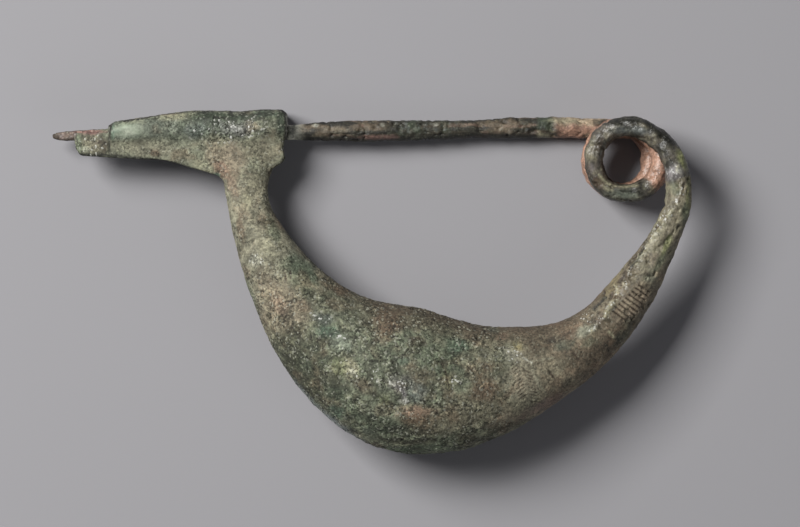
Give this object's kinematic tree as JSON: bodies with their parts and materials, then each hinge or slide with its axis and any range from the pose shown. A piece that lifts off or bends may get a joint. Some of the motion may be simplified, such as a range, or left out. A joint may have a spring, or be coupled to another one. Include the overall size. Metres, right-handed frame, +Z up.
{
  "type": "fibula brooch",
  "caption": "Bronze leech-bow brooch: a swelling bow, a coiled spring, a pin, and a catch-plate rolled over the pin. It lies on its side.",
  "frame": {"origin": "on the ground, under the middle of the brooch's box as it lies on its side", "axes": "+X along the pin from its tip to the spring, +Y from the bow towards the pin, +Z up from the ground through the brooch's thinnest side"},
  "size_m": [0.0802, 0.0432, 0.014],
  "materials": {
    "bronze": "corroded bronze with a green, brown and salmon patina, mostly matt"
  },
  "bodies": {
    "root": {"fibula": "bronze"}
  },
  "joints": []
}
